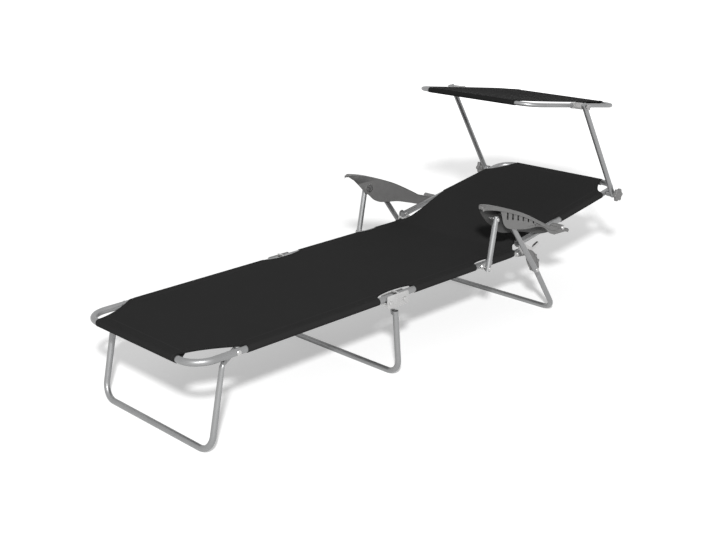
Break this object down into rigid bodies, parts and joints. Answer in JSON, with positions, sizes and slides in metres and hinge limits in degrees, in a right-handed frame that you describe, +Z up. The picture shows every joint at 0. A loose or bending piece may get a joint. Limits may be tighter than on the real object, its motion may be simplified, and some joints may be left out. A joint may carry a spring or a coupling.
{
  "type": "sun lounger with canopy",
  "caption": "Folding tube sun lounger with a charcoal cloth bed, hinged foot section, reclining back, moulded armrests and a tilting sun canopy on posts.",
  "frame": {"origin": "centre of the footprint of the whole lounger, on the floor", "axes": "+X from the foot end to the head end, +Y toward the sitter's right-hand side, +Z up"},
  "size_m": [1.9008, 0.6396, 0.7542],
  "materials": {
    "alloy": "satin silver-grey tube",
    "steel": "bare stamped steel and rivets",
    "plastic": "fine-grained dark grey moulding",
    "cloth": "charcoal woven cloth with sewn hems"
  },
  "bodies": {
    "seat": {"seat_rail_left": "alloy", "seat_rail_right": "alloy", "hinge_plate_left": "steel", "hinge_plate_right": "steel", "hinge_rivet_left": "steel", "hinge_rivet_right": "steel", "strut_bracket_left": "steel", "strut_bracket_right": "steel", "strut_pin_left": "steel", "strut_pin_right": "steel", "back_bolt_left": "steel", "back_bolt_right": "steel", "rear_leg_pin_left": "steel", "rear_leg_pin_right": "steel", "seat_cloth": "cloth"},
    "mid_hinge": {"mid_bracket_left": "steel", "mid_bracket_right": "steel", "bracket_pin_foot_left": "steel", "bracket_pin_foot_right": "steel", "bracket_pin_seat_left": "steel", "bracket_pin_seat_right": "steel", "mid_leg_pin_left": "steel", "mid_leg_pin_right": "steel"},
    "foot": {"foot_frame_tube": "alloy", "foot_cloth": "cloth", "foot_leg_pin_left": "steel", "foot_leg_pin_right": "steel"},
    "foot_leg": {"foot_leg_tube": "alloy"},
    "mid_leg": {"mid_leg_tube": "alloy"},
    "rear_leg": {"rear_leg_tube": "alloy", "oval_plate_left": "plastic", "oval_plate_right": "plastic", "prop_pin_left": "steel", "prop_pin_right": "steel"},
    "back": {"back_frame_tube": "alloy", "back_cloth": "cloth", "armrest_bolt_left": "steel", "armrest_bolt_right": "steel"},
    "canopy_posts": {"canopy_post_left": "alloy", "canopy_post_right": "alloy"},
    "canopy": {"canopy_frame_tube": "alloy", "canopy_cloth": "cloth", "canopy_clip_left": "plastic", "canopy_clip_right": "plastic"},
    "armrest_left": {"armrest_left": "plastic"},
    "strut_left": {"front_strut_left": "alloy", "strut_top_bolt_left": "steel"},
    "prop_left": {"prop_left": "alloy", "prop_stop_pin_left": "steel"},
    "post_knob_left": {"post_knob_left": "plastic"},
    "tilt_knob_left": {"tilt_knob_left": "plastic"},
    "armrest_right": {"armrest_right": "plastic"},
    "strut_right": {"front_strut_right": "alloy", "strut_top_bolt_right": "steel"},
    "prop_right": {"prop_right": "alloy", "prop_stop_pin_right": "steel"},
    "post_knob_right": {"post_knob_right": "plastic"},
    "tilt_knob_right": {"tilt_knob_right": "plastic"}
  },
  "joints": [
    {"name": "hinge_fold", "type": "hinge", "parent": "seat", "child": "mid_hinge", "pos_m": [-0.17993, 0, 0.255], "axis": [0, -1, 0], "range_deg": [-84, 0]},
    {"name": "foot_fold", "type": "hinge", "parent": "mid_hinge", "child": "foot", "pos_m": [-0.23893, 0, 0.255], "axis": [0, -1, 0], "range_deg": [-90, 0]},
    {"name": "foot_leg_fold", "type": "hinge", "parent": "foot", "child": "foot_leg", "pos_m": [-0.80193, 0, 0.269], "axis": [0, -1, 0], "range_deg": [0, 100]},
    {"name": "mid_leg_fold", "type": "hinge", "parent": "mid_hinge", "child": "mid_leg", "pos_m": [-0.20343, 0, 0.23], "axis": [0, 1, 0], "range_deg": [0, 85]},
    {"name": "rear_leg_fold", "type": "hinge", "parent": "seat", "child": "rear_leg", "pos_m": [0.42607, 0, 0.264], "axis": [0, -1, 0], "range_deg": [0, 45]},
    {"name": "recline", "type": "hinge", "parent": "seat", "child": "back", "pos_m": [0.37457, 0, 0.2987], "axis": [0, -1, 0], "range_deg": [0, 45]},
    {"name": "armrest_tilt_left", "type": "hinge", "parent": "back", "child": "armrest_left", "pos_m": [0.54503, -0.29, 0.32582], "axis": [0, -1, 0], "range_deg": [-26, 0]},
    {"name": "strut_swing_left", "type": "hinge", "parent": "seat", "child": "strut_left", "pos_m": [0.1801, -0.291, 0.266], "axis": [0, -1, 0], "range_deg": [0, 29]},
    {"name": "prop_swing_left", "type": "hinge", "parent": "rear_leg", "child": "prop_left", "pos_m": [0.42897, -0.2903, 0.202], "axis": [0, 1, 0], "range_deg": [0, 7]},
    {"name": "armrest_tilt_right", "type": "hinge", "parent": "back", "child": "armrest_right", "pos_m": [0.54503, 0.29, 0.32582], "axis": [0, -1, 0], "range_deg": [-26, 0]},
    {"name": "strut_swing_right", "type": "hinge", "parent": "seat", "child": "strut_right", "pos_m": [0.1801, 0.291, 0.266], "axis": [0, -1, 0], "range_deg": [0, 29]},
    {"name": "prop_swing_right", "type": "hinge", "parent": "rear_leg", "child": "prop_right", "pos_m": [0.42897, 0.2903, 0.202], "axis": [0, 1, 0], "range_deg": [0, 7]},
    {"name": "canopy_swing", "type": "hinge", "parent": "back", "child": "canopy_posts", "pos_m": [0.86461, 0, 0.37667], "axis": [0, -1, 0], "range_deg": [-75, 42]},
    {"name": "canopy_tilt", "type": "hinge", "parent": "canopy_posts", "child": "canopy", "pos_m": [0.66709, 0, 0.71225], "axis": [0, 1, 0], "range_deg": [-60, 60]},
    {"name": "post_knob_turn_left", "type": "hinge", "parent": "canopy_posts", "child": "post_knob_left", "pos_m": [0.86461, -0.307, 0.37667], "axis": [0, 1, 0], "range_deg": [0, 360]},
    {"name": "tilt_knob_turn_left", "type": "hinge", "parent": "canopy_posts", "child": "tilt_knob_left", "pos_m": [0.66709, -0.307, 0.71225], "axis": [0, 1, 0], "range_deg": [0, 360]},
    {"name": "post_knob_turn_right", "type": "hinge", "parent": "canopy_posts", "child": "post_knob_right", "pos_m": [0.86461, 0.307, 0.37667], "axis": [0, 1, 0], "range_deg": [0, 360]},
    {"name": "tilt_knob_turn_right", "type": "hinge", "parent": "canopy_posts", "child": "tilt_knob_right", "pos_m": [0.66709, 0.307, 0.71225], "axis": [0, 1, 0], "range_deg": [0, 360]}
  ],
  "couplings": [
    {"joint": "armrest_tilt_left", "follows": "recline", "ratio": -0.5609},
    {"joint": "strut_swing_left", "follows": "recline", "ratio": 0.6306},
    {"joint": "prop_swing_left", "follows": "recline", "ratio": 0.14},
    {"joint": "armrest_tilt_right", "follows": "recline", "ratio": -0.5609},
    {"joint": "strut_swing_right", "follows": "recline", "ratio": 0.6306},
    {"joint": "prop_swing_right", "follows": "recline", "ratio": 0.14}
  ]
}
